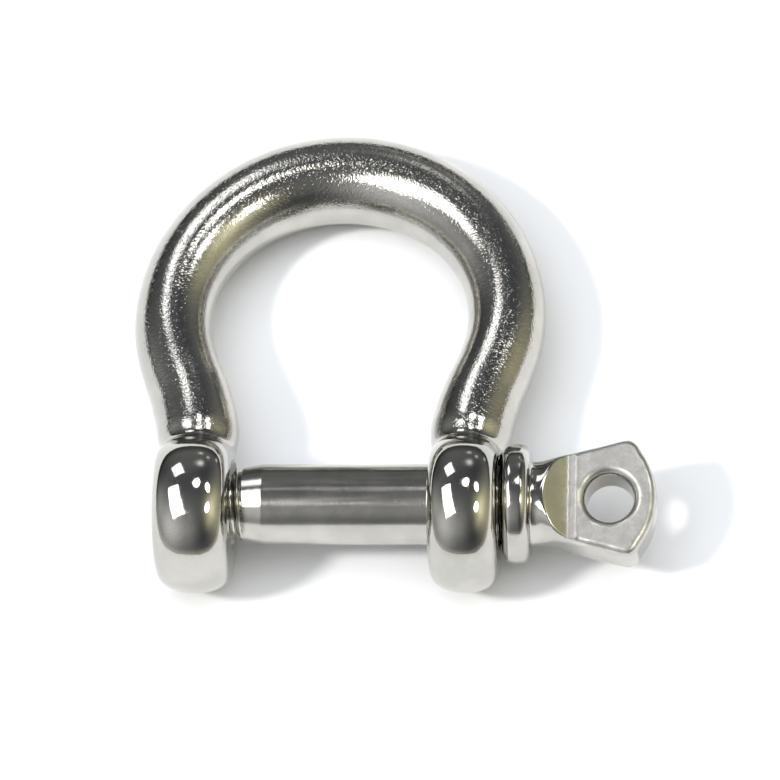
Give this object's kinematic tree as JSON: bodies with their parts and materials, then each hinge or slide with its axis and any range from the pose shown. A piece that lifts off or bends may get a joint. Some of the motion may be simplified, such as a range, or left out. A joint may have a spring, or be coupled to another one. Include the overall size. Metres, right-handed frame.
{
  "type": "bow shackle",
  "caption": "Polished stainless bow shackle: a round-bar bow with an ear at each end, closed by a screw pin with a collar and a flat eye.",
  "frame": {"origin": "centre of the footprint, at the lowest point of the ears, with the shackle lying flat", "axes": "+X along the pin towards its eye, +Y in the plane of the bow from the pin towards the crown, +Z square to the bow, upwards"},
  "size_m": [0.0532, 0.0516, 0.0157],
  "materials": {
    "bow_steel": "mirror-polished stainless steel with faint casting pits",
    "pin_steel": "polished stainless steel, satin on the flat of the eye",
    "core_steel": "plain machined stainless steel"
  },
  "bodies": {
    "bow": {"bow_body": "bow_steel"},
    "pin_carrier": {"pin_core": "core_steel"},
    "pin": {"screw_pin": "pin_steel"}
  },
  "joints": [
    {"name": "pin_travel", "type": "slide", "parent": "bow", "child": "pin_carrier", "axis": [1, 0, 0], "range_m": [0, 0.0352]},
    {"name": "pin_turn", "type": "hinge", "parent": "pin_carrier", "child": "pin", "pos_m": [0, -0.01683, 0.00785], "axis": [1, 0, 0], "range_deg": [0, 10080]}
  ],
  "couplings": [
    {"joint": "pin_travel", "follows": "pin_turn", "m_per_rad": 0.00019894}
  ]
}
